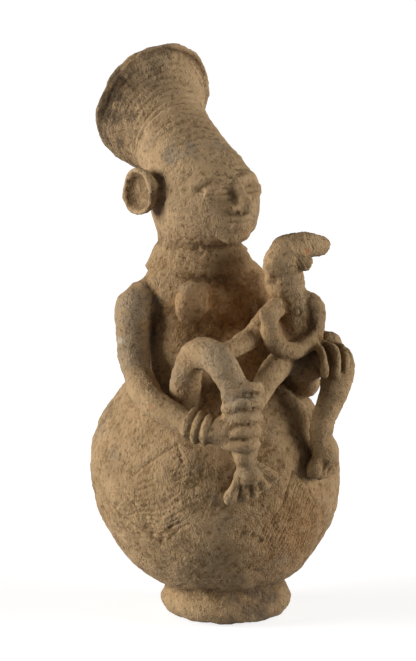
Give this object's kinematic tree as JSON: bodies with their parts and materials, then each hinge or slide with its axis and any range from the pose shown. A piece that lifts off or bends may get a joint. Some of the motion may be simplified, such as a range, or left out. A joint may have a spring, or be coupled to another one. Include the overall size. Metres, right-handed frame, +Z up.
{
  "type": "anthropomorphic jar",
  "caption": "Hollow fired-clay jar shaped as a seated figure with a child on its lap: round belly on a flat foot, flaring coiffure as the open mouth.",
  "frame": {"origin": "middle of the flat underside of the foot", "axes": "+Z up, the figure faces -Y, its left side is +X, and the mouth of the jar opens to the back and up"},
  "size_m": [0.162, 0.1891, 0.3667],
  "materials": {
    "terracotta": "matt unglazed fired clay, tan-brown with grey smoke patches and a fine impressed texture"
  },
  "bodies": {
    "root": {"jar_body": "terracotta", "jar_head": "terracotta"}
  },
  "joints": []
}
